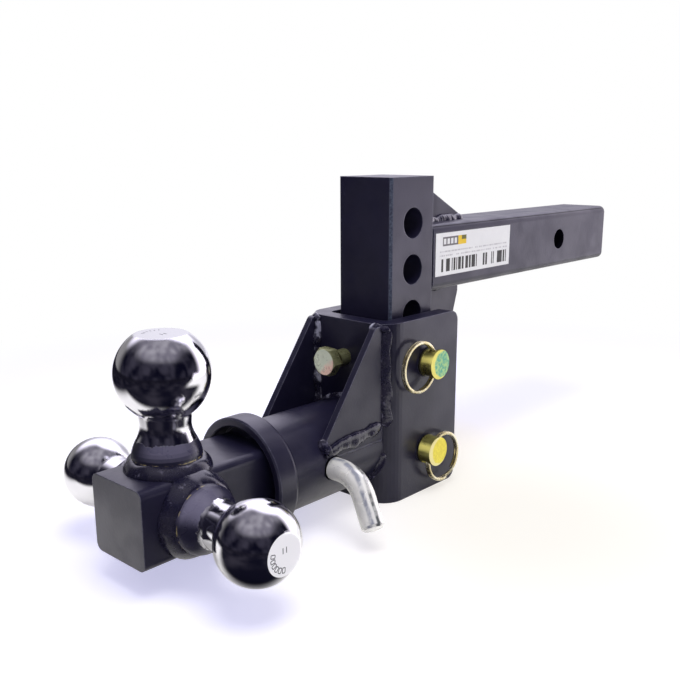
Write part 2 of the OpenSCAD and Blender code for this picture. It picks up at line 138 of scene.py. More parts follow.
# Painted shade where the hitch pin goes into the sleeve
SLEEVE_SHADE = (0.012, 0.012, 0.014)
CHROME_DARK, CHROME_LIGHT = (0.68, 0.68, 0.71), (0.80, 0.80, 0.82)
TOP_FLAT, SIDE_FLAT = (0.68, 0.68, 0.70), (0.86, 0.86, 0.88)
# Painted glow on the flats of the two side balls
SIDE_FLAT_GLOW = (0.40, 0.39, 0.40)
YELLOW_ZINC, YELLOW_ZINC_DARK = (0.88, 0.83, 0.26), (0.62, 0.57, 0.16)
# Painted light on the clevis pins: a lit band along the top and a shaded underside
YELLOW_LIT, YELLOW_SHADED_UNDER = (1.0, 0.90, 0.24), (0.24, 0.21, 0.06)
# A clevis pin's end face: its rim, its middle, and the flecks in the middle
UPPER_PIN_END = ((0.95, 0.86, 0.20), (0.13, 0.47, 0.31), (0.46, 0.70, 0.30))
LOWER_PIN_END = ((0.98, 0.88, 0.38), (1.0, 0.86, 0.09), (0.90, 0.76, 0.08))
GREEN_ZINC, GREEN_ZINC_DARK = (0.66, 0.68, 0.36), (0.42, 0.43, 0.20)
GREEN_FACE, PINK_FACE, NECK_BROWN = (0.82, 0.88, 0.68), (1.0, 0.70, 0.55), (0.10, 0.075, 0.03)
PALE_GOLD, PALE_GOLD_DARK = (0.93, 0.89, 0.66), (0.62, 0.52, 0.26)
BRIGHT_DARK, BRIGHT_LIGHT = (0.90, 0.90, 0.86), (0.98, 0.97, 0.91)
BRIGHT_SCRATCH = (0.42, 0.42, 0.46)
FILM_DARK, FILM_LIGHT = (0.80, 0.80, 0.78), (0.88, 0.88, 0.86)
PRINT_GREY, PRINT_AMBER, PRINT_OLIVE = (0.16, 0.15, 0.15), (0.86, 0.58, 0.03), (0.16, 0.15, 0.03)
PRINT_RULE, PRINT_BAR = (0.25, 0.22, 0.25), (0.035, 0.034, 0.028)
INK_DARK, INK_LIGHT = (0.02, 0.02, 0.03), (0.09, 0.09, 0.10)
NO_GLOW = (0.0, 0.0, 0.0)
WHITE = (1.0, 1.0, 1.0)


# ---------------------------------------------------------------- node building
class Nodes:
    """The node tree of a world or a material, with short calls for the nodes it needs."""

    def __init__(self, owner, coords):
        owner.use_nodes = True
        self.tree = owner.node_tree
        self.tree.nodes.clear()
        self.coords = self.add("TexCoord").outputs[coords]

    def add(self, kind, inputs=None, **settings):
        """A new node, whose inputs get a value or a link from a socket."""
        node = self.tree.nodes.new("ShaderNode" + kind)
        for key, value in settings.items():
            setattr(node, key, value)
        for key, value in (inputs or {}).items():
            self.put(node.inputs[key], value)
        return node

    def put(self, socket, value):
        if isinstance(value, bpy.types.NodeSocket):
            self.tree.links.new(value, socket)
        elif socket.type == "RGBA" and len(value) == 3:
            socket.default_value = (*value, 1)
        else:
            socket.default_value = value

    def math(self, operation, a, b=0.0):
        return self.add("Math", {0: a, 1: b}, operation=operation).outputs[0]

    def times(self, a, b):
        return self.math("MULTIPLY", a, b)

    def plus(self, a, b):
        return self.math("ADD", a, b)

    def minus(self, a, b):
        return self.math("SUBTRACT", a, b)

    def size(self, a):
        return self.math("ABSOLUTE", a)

    def dot(self, a, b):
        return self.add("VectorMath", {0: a, 1: b}, operation="DOT_PRODUCT").outputs["Value"]

    def step(self, value, low, high, to_low=0.0, to_high=1.0):
        """Smooth change from to_low to to_high as value goes from low to high."""
        node = self.add("MapRange", {"Value": value, "From Min": low, "From Max": high,
                                     "To Min": to_low, "To Max": to_high},
                        interpolation_type="SMOOTHSTEP")
        return node.outputs["Result"]

    def band(self, value, start, low, high, end):
        """1 from low to high, falling smoothly to 0 at start and at end."""
        return self.times(self.step(value, start, low), self.step(value, end, high))

    def noise(self, per_metre, detail=3.0, roughness=0.5, coords=None, distortion=0.0):
        node = self.add("TexNoise", {"Vector": coords or self.coords, "Scale": per_metre,
                                     "Detail": detail, "Roughness": roughness,
                                     "Distortion": distortion})
        return node.outputs["Fac"]

    def swing(self, noise_value, amount):
        """Noise made to swing about zero."""
        return self.times(self.minus(noise_value, 0.5), amount)

    def stretched(self, scale, turn=(0.0, 0.0, 0.0)):
        node = self.add("Mapping", {"Vector": self.coords, "Scale": scale, "Rotation": turn})
        return node.outputs["Vector"]

    def axes(self, coords=None):
        node = self.add("SeparateXYZ", {"Vector": coords or self.coords})
        return node.outputs["X"], node.outputs["Y"], node.outputs["Z"]

    def mix(self, fac, a, b):
        node = self.add("Mix", data_type="RGBA")
        self.put(node.inputs[0], fac)
        self.put(node.inputs[6], a)
        self.put(node.inputs[7], b)
        return node.outputs[2]


class Finish(Nodes):
    """A material with one surface."""

    def __init__(self, name):
        self.material = bpy.data.materials.new(name)
        super().__init__(self.material, "Object")
        self.surface = self.add("BsdfPrincipled")
        self.add("OutputMaterial", {"Surface": self.surface.outputs[0]})

    def set(self, **inputs):
        """Sets the surface's inputs, whose names have _ for a space, and gives the material."""
        for key, value in inputs.items():
            self.put(self.surface.inputs[key.replace("_", " ")], value)
        return self.material

    def normal(self):
        """The way the surface faces, in the frame's axes."""
        return self.add("NewGeometry").outputs["Normal"]

    def bump(self, height, distance, normal=None):
        node = self.add("Bump", {"Height": height, "Distance": distance, "Strength": 1.0})
        if normal is not None:
            self.put(node.inputs["Normal"], normal)
        return node.outputs["Normal"]

    def rounded(self, radius):
        """A normal averaged over the radius: soft edges, and no facets on a CAD mesh."""
        return self.add("Bevel", {"Radius": radius}, samples=4).outputs["Normal"]

    def edge(self, rounded_normal):
        """1 on an edge that the rounded normal blends over, 0 on a flat face."""
        return self.step(self.dot(rounded_normal, self.normal()), 0.997, 0.86)

    def radius_from(self, u, v, u0, v0):
        """Distance from (u0, v0) in the plane of the two coordinates."""
        du, dv = self.minus(u, u0), self.minus(v, v0)
        return self.math("SQRT", self.plus(self.times(du, du), self.times(dv, dv)))


def paint_values(finish, gloss=0.0):
    """Colour, roughness and orange-peel normal of the black powder coat, with a painted highlight on
    its edges.
    """
    cloud = finish.noise(16, 4, 0.6)
    colour = finish.mix(finish.step(cloud, 0.35, 0.68), PAINT_DARK, PAINT_LIGHT)
    dust = finish.step(finish.noise(900, 2, 0.7), 0.68, 0.78)
    colour = finish.mix(finish.times(dust, 0.30), colour, PAINT_DUST)
    rounded = finish.rounded(1.1 * MM)
    patchy = finish.step(finish.noise(260, 3), 0.30, 0.62, 0.45, 1.0)
    # Painted highlight in patches on the edges that the rounded normal blends over
    colour = finish.mix(finish.times(finish.edge(rounded), patchy), colour, PAINT_EDGE_HIGHLIGHT)
    roughness = finish.step(finish.noise(55, 4), 0.30, 0.70, 0.30 - gloss, 0.43 - gloss)
    peel = finish.plus(finish.noise(520, 2, 0.4), finish.times(finish.noise(1500, 2), 0.35))
    return colour, roughness, finish.bump(peel, 0.05 * MM, rounded)


def powder_coat(name, highlit_corners=False, shaded_bore=False):
    """Black powder coat; the post's long corners carry a patchy painted highlight, and the shank tube
    and its cross hole are painted black inside as shade.
    """
    finish = Finish(name)
    colour, roughness, normal = paint_values(finish)
    x, y, z = finish.axes()
    if highlit_corners:
        from_axis = finish.plus(finish.size(x), finish.size(
            finish.minus(y, (POST_LO.y + POST_HI.y) / 2)))
        bevel = 2 * POST_HI.x - POST_BEVEL
        # Painted highlight on the bevelled corners, broken into patches
        corner = finish.step(from_axis, bevel - 0.15 * MM, bevel - 0.05 * MM)
        highlight_patches = finish.step(finish.noise(700, 2), 0.34, 0.66, 0.20, 1.0)
        colour = finish.mix(finish.times(corner, highlight_patches), colour, PAINT_CORNER_HIGHLIGHT)
    specular = 0.55
    if shaded_bore:
        # Painted shade: the bore and the cross hole are near-black and mirror nothing
        hole = finish.step(finish.radius_from(y, z, 0.0, 0.0), SHANK_HOLE_R + 0.3 * MM,
                           SHANK_HOLE_R + 0.1 * MM)
        furthest = finish.math("MAXIMUM", finish.size(x), finish.size(z))
        bore = finish.times(finish.step(furthest, SHANK_HALF - 1.0 * MM, SHANK_HALF - 2.0 * MM),
                            finish.step(y, SHANK_HI.y - 0.3 * MM, SHANK_HI.y - 1.5 * MM))
        inside = finish.math("MAXIMUM", hole, bore)
        colour = finish.mix(inside, colour, BORE_SHADE)
        specular = finish.step(inside, 0.0, 1.0, specular, 0.0)
    return finish.set(Base_Color=colour, Roughness=roughness, Normal=normal,
                      Specular_IOR_Level=specular, Coat_Weight=0.0 if shaded_bore else 0.12,
                      Coat_Roughness=0.22)


def weld_paint(name, grit):
    """The same paint where it lies thick and glossy over a weld, with pale flecks on its ridges that
    are painted glints.

    The painted glints are brightest on the beads between the two gussets. grit is the height of its
    runs.
    """
    finish = Finish(name)
    colour = finish.mix(finish.step(finish.noise(90, 3), 0.35, 0.70), PAINT_DARK, WELD_LIGHT)
    flecks = finish.step(finish.noise(170, 3, 0.6), 0.60, 0.74, 0.0, 0.55)
    colour = finish.mix(flecks, colour, WELD_FLECK)
    x, y, _ = finish.axes()
    # Painted glints, brightest on the beads between the two gussets
    glint_zone = finish.times(
        finish.step(finish.size(x), GUSSET_LO.x + 1 * MM, GUSSET_LO.x - 1 * MM),
        finish.band(y, GUSSET_LO.y, GUSSET_LO.y + 20 * MM, CHANNEL_LO.y + 3 * MM,
                    CHANNEL_LO.y + 6 * MM))
    glints = finish.step(finish.noise(105, 3), 0.47, 0.62)
    colour = finish.mix(finish.times(glint_zone, glints), colour, WELD_GLINT)
    runs = finish.noise(420, 2, 0.5)
    return finish.set(Base_Color=colour, Roughness=finish.step(runs, 0.3, 0.7, 0.17, 0.30),
                      Specular_IOR_Level=0.60, Coat_Weight=0.30, Coat_Roughness=0.12,
                      Normal=finish.bump(runs, grit))


def ball_chrome(name, node, out_axis, rim, paint_line):
    """Chrome above a ragged paint line on the neck, powder coat below it with a painted sheen, painted
    golden glints of bare metal at the rim, and a painted glow on the side flats.
    """
    finish = Finish(name)
    on_top = out_axis == Z
    x, _, z = finish.axes()
    lo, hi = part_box(node)
    if on_top:
        reach, top = finish.minus(z, SLEEVE_Z + HEAD_HALF), hi.z - SLEEVE_Z - HEAD_HALF
    else:
        reach = finish.minus(x if out_axis == X else finish.times(x, -1.0), HEAD_HALF)
        top = max(abs(hi.x), abs(lo.x)) - HEAD_HALF
    ragged = finish.plus(reach, finish.swing(finish.noise(210, 3, 0.62), 7 * MM))
    bare = finish.step(ragged, paint_line - 0.12 * MM, paint_line + 0.12 * MM)
    painted = finish.minus(1.0, bare)

    paint_colour, paint_rough, paint_normal = paint_values(finish, 0.08)
    # Painted sheen on the foot's upward faces, strongest where they face the camera
    facing = finish.add("LayerWeight", {"Blend": 0.5}).outputs["Facing"]
    _, _, upward = finish.axes(finish.normal())
    sheen = finish.times(finish.step(facing, 0.02, 0.55, 0.80, 0.0),
                         finish.step(upward, 0.05, 0.50))
    paint_colour = finish.mix(sheen, paint_colour, PAINT_SHEEN)
    # Painted golden glints in the groove at the foot's rim
    at_rim = finish.step(finish.size(finish.minus(reach, rim)), 0.25 * MM, 0.55 * MM, 1.0, 0.0)
    rim_glint = finish.times(at_rim, finish.step(finish.noise(170, 3), 0.50, 0.60))
    paint_colour = finish.mix(rim_glint, paint_colour, RIM_GLINT)

    haze = finish.noise(40, 3)
    on_flat = finish.step(reach, top - 0.15 * MM, top - 0.05 * MM)
    chrome_colour = finish.mix(on_flat, finish.mix(haze, CHROME_DARK, CHROME_LIGHT),
                               TOP_FLAT if on_top else SIDE_FLAT)
    scratch = finish.noise(1, 3, 0.7, finish.stretched((300, 2600, 900), (0.3, 0.5, 0.2)))
    chrome_rough = finish.plus(finish.step(haze, 0.3, 0.7, 0.035, 0.075),
                               finish.step(scratch, 0.62, 0.75, 0.0, 0.05))
    normal = finish.add("Mix", data_type="VECTOR")
    finish.put(normal.inputs[0], bare)
    finish.put(normal.inputs[4], finish.bump(painted, 0.25 * MM, paint_normal))
    finish.put(normal.inputs[5], finish.rounded(2.5 * MM))
    satin = finish.times(on_flat, 0.55)  # the flats are brushed, not polished
    # Painted glow on the side flats
    glow = NO_GLOW if on_top else finish.mix(on_flat, NO_GLOW, SIDE_FLAT_GLOW)
    return finish.set(
        Base_Color=finish.mix(bare, paint_colour, chrome_colour),
        Metallic=finish.minus(bare, satin), Emission_Color=glow, Emission_Strength=1.0,
        Roughness=finish.plus(finish.times(bare, chrome_rough), finish.times(painted, paint_rough)),
        Normal=normal.outputs[1])


def plated(name, light, dark, rough, along=X, streaks=0.5):
    """A finish, colour, roughness and normal for zinc plate with drawn streaks and a mottled tint.

    streaks is the share that the streaks have in the tint.
    """
    finish = Finish(name)
    mottle = finish.noise(120, 4, 0.65)
    scale = tuple(60 if abs(along[i]) > 0.5 else 1400 for i in range(3))
    drawn = finish.noise(1, 3, 0.6, finish.stretched(scale))
    tint = finish.plus(finish.times(mottle, 1 - streaks), finish.times(drawn, streaks))
    colour = finish.mix(finish.step(tint, 0.36, 0.66), dark, light)
    normal = finish.bump(finish.plus(drawn, mottle), 0.03 * MM, finish.rounded(0.5 * MM))
    return finish, colour, finish.step(mottle, 0.3, 0.7, *rough), normal


def pin_zinc(name, node, rim, middle, flecks):
    """Yellow zinc pin whose end face has a tinted, flecked middle inside a brighter rim.

    A painted highlight runs along its top, its underside is painted darker as shade, and it is painted
    black as shade where it goes into the channel.
    """
    finish, colour, rough, normal = plated(name, YELLOW_ZINC, YELLOW_ZINC_DARK, (0.26, 0.36))
    lo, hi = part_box(node)
    x, y, z = finish.axes()
    axis_y, axis_z = (lo.y + hi.y) / 2, (lo.z + hi.z) / 2
    on_end = finish.step(x, hi.x - 0.30 * MM, hi.x - 0.05 * MM)

    _, _, upward = finish.axes(finish.normal())
    # Painted highlight along the top and painted shade on the underside, by the way the surface faces
    highlight = finish.band(upward, 0.02, 0.35, 0.50, 0.78)
    colour = finish.mix(finish.step(upward, 0.00, -0.45), colour, YELLOW_SHADED_UNDER)
    colour = finish.mix(finish.times(highlight, 0.9), colour, YELLOW_LIT)
    metal = finish.minus(finish.step(on_end, 0.0, 1.0, 0.85, 0.30),
                         finish.times(highlight, finish.step(on_end, 0.0, 1.0, 0.8, 0.0)))

    wobble = finish.swing(finish.noise(160, 3), 4 * MM)
    aside = finish.times(finish.minus(y, axis_y), -0.35)
    radius = finish.radius_from(y, z, axis_y, axis_z)
    inside = finish.step(finish.plus(finish.plus(radius, wobble), aside), 10.0 * MM, 8.6 * MM)
    patches = finish.step(finish.noise(420, 3, 0.6), 0.40, 0.62)
    end = finish.mix(inside, rim, finish.mix(patches, flecks, middle))
    # Painted shade where the pin goes into the channel
    shade_in_hole = finish.band(x, CHANNEL_LO.x, CHANNEL_LO.x + 1.0 * MM, CHANNEL_HI.x + 1.4 * MM,
                          CHANNEL_HI.x + 2.0 * MM)
    return finish.set(
        Base_Color=finish.mix(shade_in_hole, finish.mix(on_end, colour, end), HOLE_SHADE),
        Metallic=finish.times(finish.minus(1.0, shade_in_hole), metal),
        Roughness=finish.plus(rough, finish.times(on_end, 0.18)), Normal=normal)


def bolt_zinc(name):
    """Greenish passivated zinc, with a pink cast on one side of the head's face."""
    finish, colour, rough, normal = plated(name, GREEN_ZINC, GREEN_ZINC_DARK, (0.24, 0.36), along=Y)
    x, y, z = finish.axes()
    on_face = finish.step(y, BOLT_LO.y + 0.16 * MM, BOLT_LO.y + 0.04 * MM)
    across = finish.minus(x, finish.minus(z, BOLT_Z))
    cloud = finish.swing(finish.noise(230, 3), 14 * MM)
    pink = finish.step(finish.plus(across, cloud), 1 * MM, 9 * MM)
    neck, neck_end = (BOLT_LO.y + at for at in BOLT_NECK)
    on_neck = finish.band(y, neck - 0.3 * MM, neck + 0.3 * MM, neck_end - 0.3 * MM,
                          neck_end + 0.3 * MM)
    colour = finish.mix(on_neck, colour, NECK_BROWN)
    face = finish.mix(pink, GREEN_FACE, PINK_FACE)
    return finish.set(Base_Color=finish.mix(on_face, colour, face),
                      Metallic=finish.step(on_face, 0.0, 1.0, 0.85, 0.35), Roughness=rough,
                      Normal=normal)


def wire_zinc(name):
    """Pale gold zinc on the flat wire of the split rings."""
    finish, colour, rough, normal = plated(name, PALE_GOLD, PALE_GOLD_DARK, (0.20, 0.30),
                                           streaks=0.2)
    return finish.set(Base_Color=colour, Metallic=0.9, Roughness=rough, Normal=normal)


def bright_zinc(name):
    """Near-white zinc on the hitch pin, with painted reflections: dark streaks along its length.

    The painted streaks follow the way the surface faces in the main view, and are broken up by noise.
    Where it goes into the sleeve it is painted black as shade.
    """
    finish = Finish(name)
    cloud = finish.noise(60, 2)
    scratch = finish.noise(1, 3, 0.6, finish.stretched((300, 300, 1500), (0.0, 0.5, 0.0)))
    colour = finish.mix(finish.step(cloud, 0.35, 0.65), BRIGHT_DARK, BRIGHT_LIGHT)
    colour = finish.mix(finish.step(scratch, 0.62, 0.70, 0.0, 0.45), colour, BRIGHT_SCRATCH)
    wander = finish.swing(finish.noise(1, 2, 0.5, finish.stretched((90, 60, 60))), 0.3)
    facing = finish.plus(finish.dot(finish.normal(), LEVEL), wander)
    patchy = finish.step(finish.noise(1, 3, 0.6, finish.stretched((160, 100, 50))),
                         0.36, 0.58, 0.25, 0.9)
    # Painted reflections: a grey streak and a dark one, placed by the way the surface faces
    for start, low, high, end, shade in ((-0.34, -0.12, 0.00, 0.20, (0.26, 0.28, 0.35)),
                                         (0.30, 0.42, 0.56, 0.66, (0.05, 0.06, 0.07))):
        streak = finish.band(facing, start, low, high, end)
        colour = finish.mix(finish.times(streak, patchy), colour, shade)
    x, _, _ = finish.axes()
    # Painted shade where the pin goes into the sleeve
    shade_in_hole = finish.band(x, -SLEEVE_R, -SLEEVE_R + 1.0 * MM, SLEEVE_R + 0.6 * MM,
                          SLEEVE_R + 1.2 * MM)
    return finish.set(Base_Color=finish.mix(shade_in_hole, colour, SLEEVE_SHADE), Metallic=0.30,
                      Roughness=finish.step(cloud, 0.3, 0.7, 0.20, 0.30),
                      Normal=finish.bump(scratch, 0.02 * MM, finish.rounded(0.8 * MM)))


def printed_label(name):
    """White film with a plain two-colour block, two faint rules and a band of random bars.

    Places on the label are shares of its length and its height.
    """
    finish = Finish(name)
    _, y, z = finish.axes()
    u = finish.math("DIVIDE", finish.minus(y, LABEL_LO.y), LABEL_HI.y - LABEL_LO.y)
    v = finish.math("DIVIDE", finish.minus(z, LABEL_LO.z), LABEL_HI.z - LABEL_LO.z)

    def within(value, low, high):
        return finish.times(finish.math("GREATER_THAN", value, low),
                            finish.math("LESS_THAN", value, high))

    def area(u0, u1, v0, v1):
        return finish.times(within(u, u0, u1), within(v, v0, v1))

    def bars(count, share, seed):
        cell = finish.math("FLOOR", finish.times(u, count))
        draw = finish.add("TexWhiteNoise", {"W": finish.plus(cell, seed)}, noise_dimensions="1D")
        return finish.math("LESS_THAN", draw.outputs["Value"], share)

    colour = finish.mix(finish.noise(140, 3), FILM_DARK, FILM_LIGHT)
    colour = finish.mix(area(0.085, 0.28, 0.69, 0.90), colour, PRINT_GREY)
    for left in (0.097, 0.142, 0.187, 0.232):
        colour = finish.mix(area(left, left + 0.030, 0.73, 0.86), colour, FILM_DARK)
    colour = finish.mix(area(0.28, 0.385, 0.69, 0.90), colour, PRINT_AMBER)
    colour = finish.mix(area(0.325, 0.385, 0.80, 0.90), colour, PRINT_OLIVE)
    for low, share, seed in ((0.545, 0.62, 3.0), (0.45, 0.55, 40.0)):
        rule = finish.times(area(0.05, 0.96, low, low + 0.035), bars(150, share, seed))
        colour = finish.mix(finish.times(rule, 0.45), colour, PRINT_RULE)
    code = finish.times(area(0.045, 0.965, 0.09, 0.39), bars(84, 0.47, 27.0))
    return finish.set(Base_Color=finish.mix(code, colour, PRINT_BAR),
                      Roughness=finish.step(finish.noise(200), 0.3, 0.7, 0.42, 0.58),
                      Specular_IOR_Level=0.4, Normal=finish.bump(finish.noise(90, 3), 0.12 * MM))


def stamped_ink(name):
    """Dull dark marks stamped into a ball's flat."""
    finish = Finish(name)
    return finish.set(Base_Color=finish.mix(finish.noise(900), INK_DARK, INK_LIGHT),
                      Roughness=finish.step(finish.noise(600), 0.3, 0.7, 0.5, 0.7))


# ---------------------------------------------------------------- pieces and their meshes
def use(node, material):
    """Gives a CAD node this material in every slot."""
    mesh = NODES[node].data
    if not mesh.materials:
        mesh.materials.append(material)
    for i in range(len(mesh.materials)):
        mesh.materials[i] = material


def piece(name, parts, material, body, stands_for=None):
    """One mesh object from (vertices, faces) parts, riding on a body."""
    vertices, faces = [], []
    for part_vertices, part_faces in parts:
        start = len(vertices)
        vertices += part_vertices
        faces += [[start + i for i in face] for face in part_faces]
    mesh = bpy.data.meshes.new(name)
    mesh.from_pydata(vertices, [], faces)
    mesh.validate()
    mesh.update()
    for polygon in mesh.polygons:
        polygon.use_smooth = True
    mesh.materials.append(material)
    obj = bpy.data.objects.new(name, mesh)
    bpy.context.scene.collection.objects.link(obj)
    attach(obj, body)
    if stands_for:
        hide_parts(stands_for)
    return obj


def skin(rings, closed):
    """Vertices and faces of the tube through equal-sized rings, capped when it is open."""
    sides = len(rings[0])
    vertices = [point for ring in rings for point in ring]
    count = len(rings)
    faces = []
    for i in range(count if closed else count - 1):
        a, b = i * sides, (i + 1) % count * sides
        faces += [(a + k, a + (k + 1) % sides, b + (k + 1) % sides, b + k) for k in range(sides)]
    if not closed:
        faces.append(tuple(reversed(range(sides))))
        faces.append(tuple((count - 1) * sides + k for k in range(sides)))
    return vertices, faces


def resampled(corners, spacing, closed):
    """Points at equal spacing along a polyline."""
    corners = corners + [corners[0]] if closed else corners
    lengths = [(b - a).length for a, b in zip(corners, corners[1:])]
    total = sum(lengths)
    count = max(4, round(total / spacing))
    points, leg, run = [], 0, 0.0
    for i in range(count if closed else count + 1):
        want = total * i / count
        while leg < len(lengths) - 1 and run + lengths[leg] < want:
            run += lengths[leg]
            leg += 1
        share = min(1.0, (want - run) / lengths[leg])
        points.append(corners[leg].lerp(corners[leg + 1], share))
    return points, total


BEAD_STEP = 0.6 * MM  # length of one ring of a bead
BEAD_SIDES = 18
RIPPLE_LENGTH = 2.9 * MM


def weld_bead(corners, outward, half_width, height, seed, closed=False, lumps=0.30, ripple=0.012):
    """A painted weld along a polyline: soft lumps, with a faint ripple across them.

    outward(point) is the way the bead bulges; lumps and ripple are shares of its size.
    """
    points, total = resampled(corners, BEAD_STEP, closed)
    count = len(points)
    rings = []
    for i, point in enumerate(points):
        ahead = points[(i + 1) % count] if closed else points[min(i + 1, count - 1)]
        behind = points[i - 1] if closed or i else points[0]
        along = (ahead - behind).normalized()
        out = outward(point)
        out = (out - along * out.dot(along)).normalized()
        side = along.cross(out)
        run = total * i / count
        shift = Vector((seed * 7.31, seed * 1.7, 0))
        drift = noise.noise(point * 75 + shift)
        coarse, fine = noise.noise(point * 95 + shift * 2), noise.noise(point * 190 + shift)
        swell = 1 + lumps * (coarse + 0.4 * fine)
        end = 1.0
        if not closed:
            near = min(run, total - run) / (1.6 * half_width)
            end = math.sqrt(max(0.02, 1 - (1 - min(1.0, near)) ** 2))
        centre = point + side * drift * half_width * 0.45
        ring = []
        for k in range(BEAD_SIDES):
            angle = 2 * math.pi * k / BEAD_SIDES
            across, rise = math.cos(angle), math.sin(angle)
            wave = math.sin(2 * math.pi * (run + 1.1 * MM * across * across) / RIPPLE_LENGTH)
            lump = noise.noise((point + side * across * half_width) * 150 + shift)
            reach = swell * end * (1 + ripple * wave * max(0.0, rise) + 0.5 * lumps * lump)
            ring.append(centre + side * across * half_width * reach + out * rise * height * reach)
        rings.append(ring)
    return skin(rings, closed)


def channel_front(x):
    """Y of the channel's outer face at x, its two front bends included."""
    past = abs(x) - (CHANNEL_HI.x - CHANNEL_BEND)
    if past <= 0:
        return CHANNEL_LO.y
    return CHANNEL_LO.y + CHANNEL_BEND - math.sqrt(max(0.0, CHANNEL_BEND ** 2 - past ** 2))


def channel_welds():
    """Beads that join the sleeve and the two gussets to the channel and to each other."""
    front = CHANNEL_LO.y
    outer, inner = GUSSET_HI.x, GUSSET_LO.x
    tip, top = GUSSET_LO.y, GUSSET_HI.z
    foot_z = SLEEVE_Z + 14.0 * MM
    inner_foot_z = SLEEVE_Z + math.sqrt(SLEEVE_R ** 2 - inner ** 2)
    parts = []
    for side in (1, -1):
        # up the outside of the gusset, in the corner with the channel's bend
        x = side * (outer + 2.4 * MM)
        y = channel_front(x) - 0.6 * MM
        parts.append(weld_bead([Vector((x, y, foot_z + 2.5 * MM)), Vector((x, y, top - 2.5 * MM))],
                               lambda p, a=Vector((side * 0.75, -0.66, 0)): a,
                               4.3 * MM, 0.9 * MM, 11 + side, lumps=0.10, ripple=0.015))
        # up the inside
        x = side * (inner - 1.4 * MM)
        parts.append(weld_bead([Vector((x, front - 0.4 * MM, inner_foot_z)),
                                Vector((x, front - 0.4 * MM, top - 3 * MM))],
                               lambda p, a=Vector((-side * 0.7, -0.7, 0)): a,
                               3.4 * MM, 2.2 * MM, 21 + side, lumps=0.40))
        # along the foot, over the corner between the gusset's outer face and the sleeve
        x = side * (outer + 0.2 * MM)
        parts.append(weld_bead([Vector((x, front + 3 * MM, foot_z + 3.0 * MM)),
                                Vector((x, front - 16 * MM, foot_z + 1.5 * MM)),
                                Vector((x, tip + 14 * MM, foot_z - 0.5 * MM)),
                                Vector((x, tip - 1 * MM, foot_z - 1.5 * MM))],
                               lambda p, a=Vector((side, 0, -0.10)): a,
                               5.4 * MM, 1.7 * MM, 31 + side, lumps=0.34))
        # round the gusset's tip
        parts.append(weld_bead([Vector((side * (inner - 2.5 * MM), tip + 2 * MM, foot_z + 6 * MM)),
                                Vector((side * (inner + 1 * MM), tip - 1.0 * MM, foot_z + 4 * MM)),
                                Vector((side * (outer - 0.5 * MM), tip - 0.6 * MM, foot_z)),
                                Vector((side * (outer + 0.8 * MM), tip + 2.5 * MM, foot_z - 4 * MM))],
                               lambda p: Vector((0, -1, 0.4)), 4.4 * MM, 2.6 * MM, 37 + side,
                               lumps=0.45))
        # along the inside of the foot
        x = side * (inner - 0.9 * MM)
        parts.append(weld_bead([Vector((x, front - 1 * MM, inner_foot_z + 0.8 * MM)),
                                Vector((x, tip + 2 * MM, inner_foot_z + 0.8 * MM))],
                               lambda p, a=Vector((-side * 0.7, 0, 0.7)): a,
                               3.6 * MM, 2.4 * MM, 41 + side, lumps=0.40))
        # across the gusset's top
        y = channel_front(outer) + 0.6 * MM
        parts.append(weld_bead([Vector((side * (inner - 4 * MM), front - 0.6 * MM, top - 1.5 * MM)),
                                Vector((side * (inner + 2 * MM), front - 0.4 * MM, top - 0.2 * MM)),
                                Vector((side * (outer + 1.5 * MM), y + 0.2 * MM, top - 2.0 * MM)),
                                Vector((side * (outer + 3 * MM), y + 1.5 * MM, top - 5 * MM))],
                               lambda p: Vector((0, -0.8, 0.6)), 3.2 * MM, 1.7 * MM, 51 + side,
                               lumps=0.35))
    # round the underside of the sleeve, and over its top between the gussets
    ring_r = SLEEVE_R + 0.6 * MM
    for low, high, seed in ((-174, -5, 61), (38, 143, 63)):
        arc = [math.radians(a) for a in range(low, high, 4)]
        ring = [Vector((ring_r * math.cos(a), channel_front(ring_r * math.cos(a)) - 0.4 * MM,
                        SLEEVE_Z + ring_r * math.sin(a))) for a in arc]
        parts.append(weld_bead(ring, lambda p: Vector((p.x, -0.9 * SLEEVE_R, p.z - SLEEVE_Z)),
                               3.2 * MM, 1.4 * MM, seed, lumps=0.16))
    return parts


def shank_welds():
    """Beads that join the shank and its two gussets to the rear of the post."""
    parts = []
    t = SHANK_GUSSET_HALF
    for level, gusset, seed in ((1, "upper_shank_gusset", 5), (-1, "lower_shank_gusset", 8)):
        lo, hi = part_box(gusset)
        end_z = hi.z - 5 * MM if level > 0 else lo.z + 6 * MM
        face = level * (SHANK_HALF + 0.7 * MM)
        for side in (1, -1):
            x = side * (t + 0.8 * MM)
            parts.append(weld_bead([Vector((x, POST_REAR + 3 * MM, face)),
                                    Vector((x, hi.y - 3 * MM, face))],
                                   lambda p, a=Vector((side, 0, level)): a,
                                   4.4 * MM, 3.2 * MM, seed + side, lumps=0.40))
            parts.append(weld_bead([Vector((x, POST_REAR + 0.7 * MM, face + level * 1 * MM)),
                                    Vector((x, POST_REAR + 0.7 * MM, end_z))],
                                   lambda p, a=Vector((side, 1, 0)): a,
                                   4.2 * MM, 3.0 * MM, seed + 20 + side, lumps=0.40))
            parts.append(weld_bead([Vector((side * t, POST_REAR + 0.7 * MM, face)),
                                    Vector((side * (SHANK_HALF - 3.5 * MM), POST_REAR + 0.7 * MM,
                                            face))],
                                   lambda p, a=Vector((0, 1, level)): a,
                                   3.8 * MM, 2.6 * MM, seed + 40 + side, lumps=0.35))
    return parts


